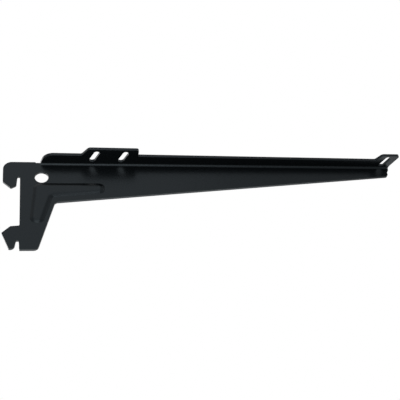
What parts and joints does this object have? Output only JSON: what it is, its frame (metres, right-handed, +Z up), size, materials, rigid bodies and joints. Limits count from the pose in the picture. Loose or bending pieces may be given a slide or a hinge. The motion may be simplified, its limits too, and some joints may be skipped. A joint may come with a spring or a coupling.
{
  "type": "slotted shelf bracket",
  "caption": "Folded steel shelf bracket with rail hooks, a short leg, a tapering arm, a slotted seat flange and a pressed stiffening bead.",
  "frame": {"origin": "on the face of the wall rail, in the middle of the web's thickness, level with the shelf seat", "axes": "+X out from the wall along the arm, +Z up, -Y towards the side that the seat is folded to"},
  "size_m": [0.2714, 0.0176, 0.0695],
  "materials": {
    "black_coating": "satin black powder coat on steel sheet"
  },
  "bodies": {
    "root": {"shelf_bracket": "black_coating"}
  },
  "joints": []
}
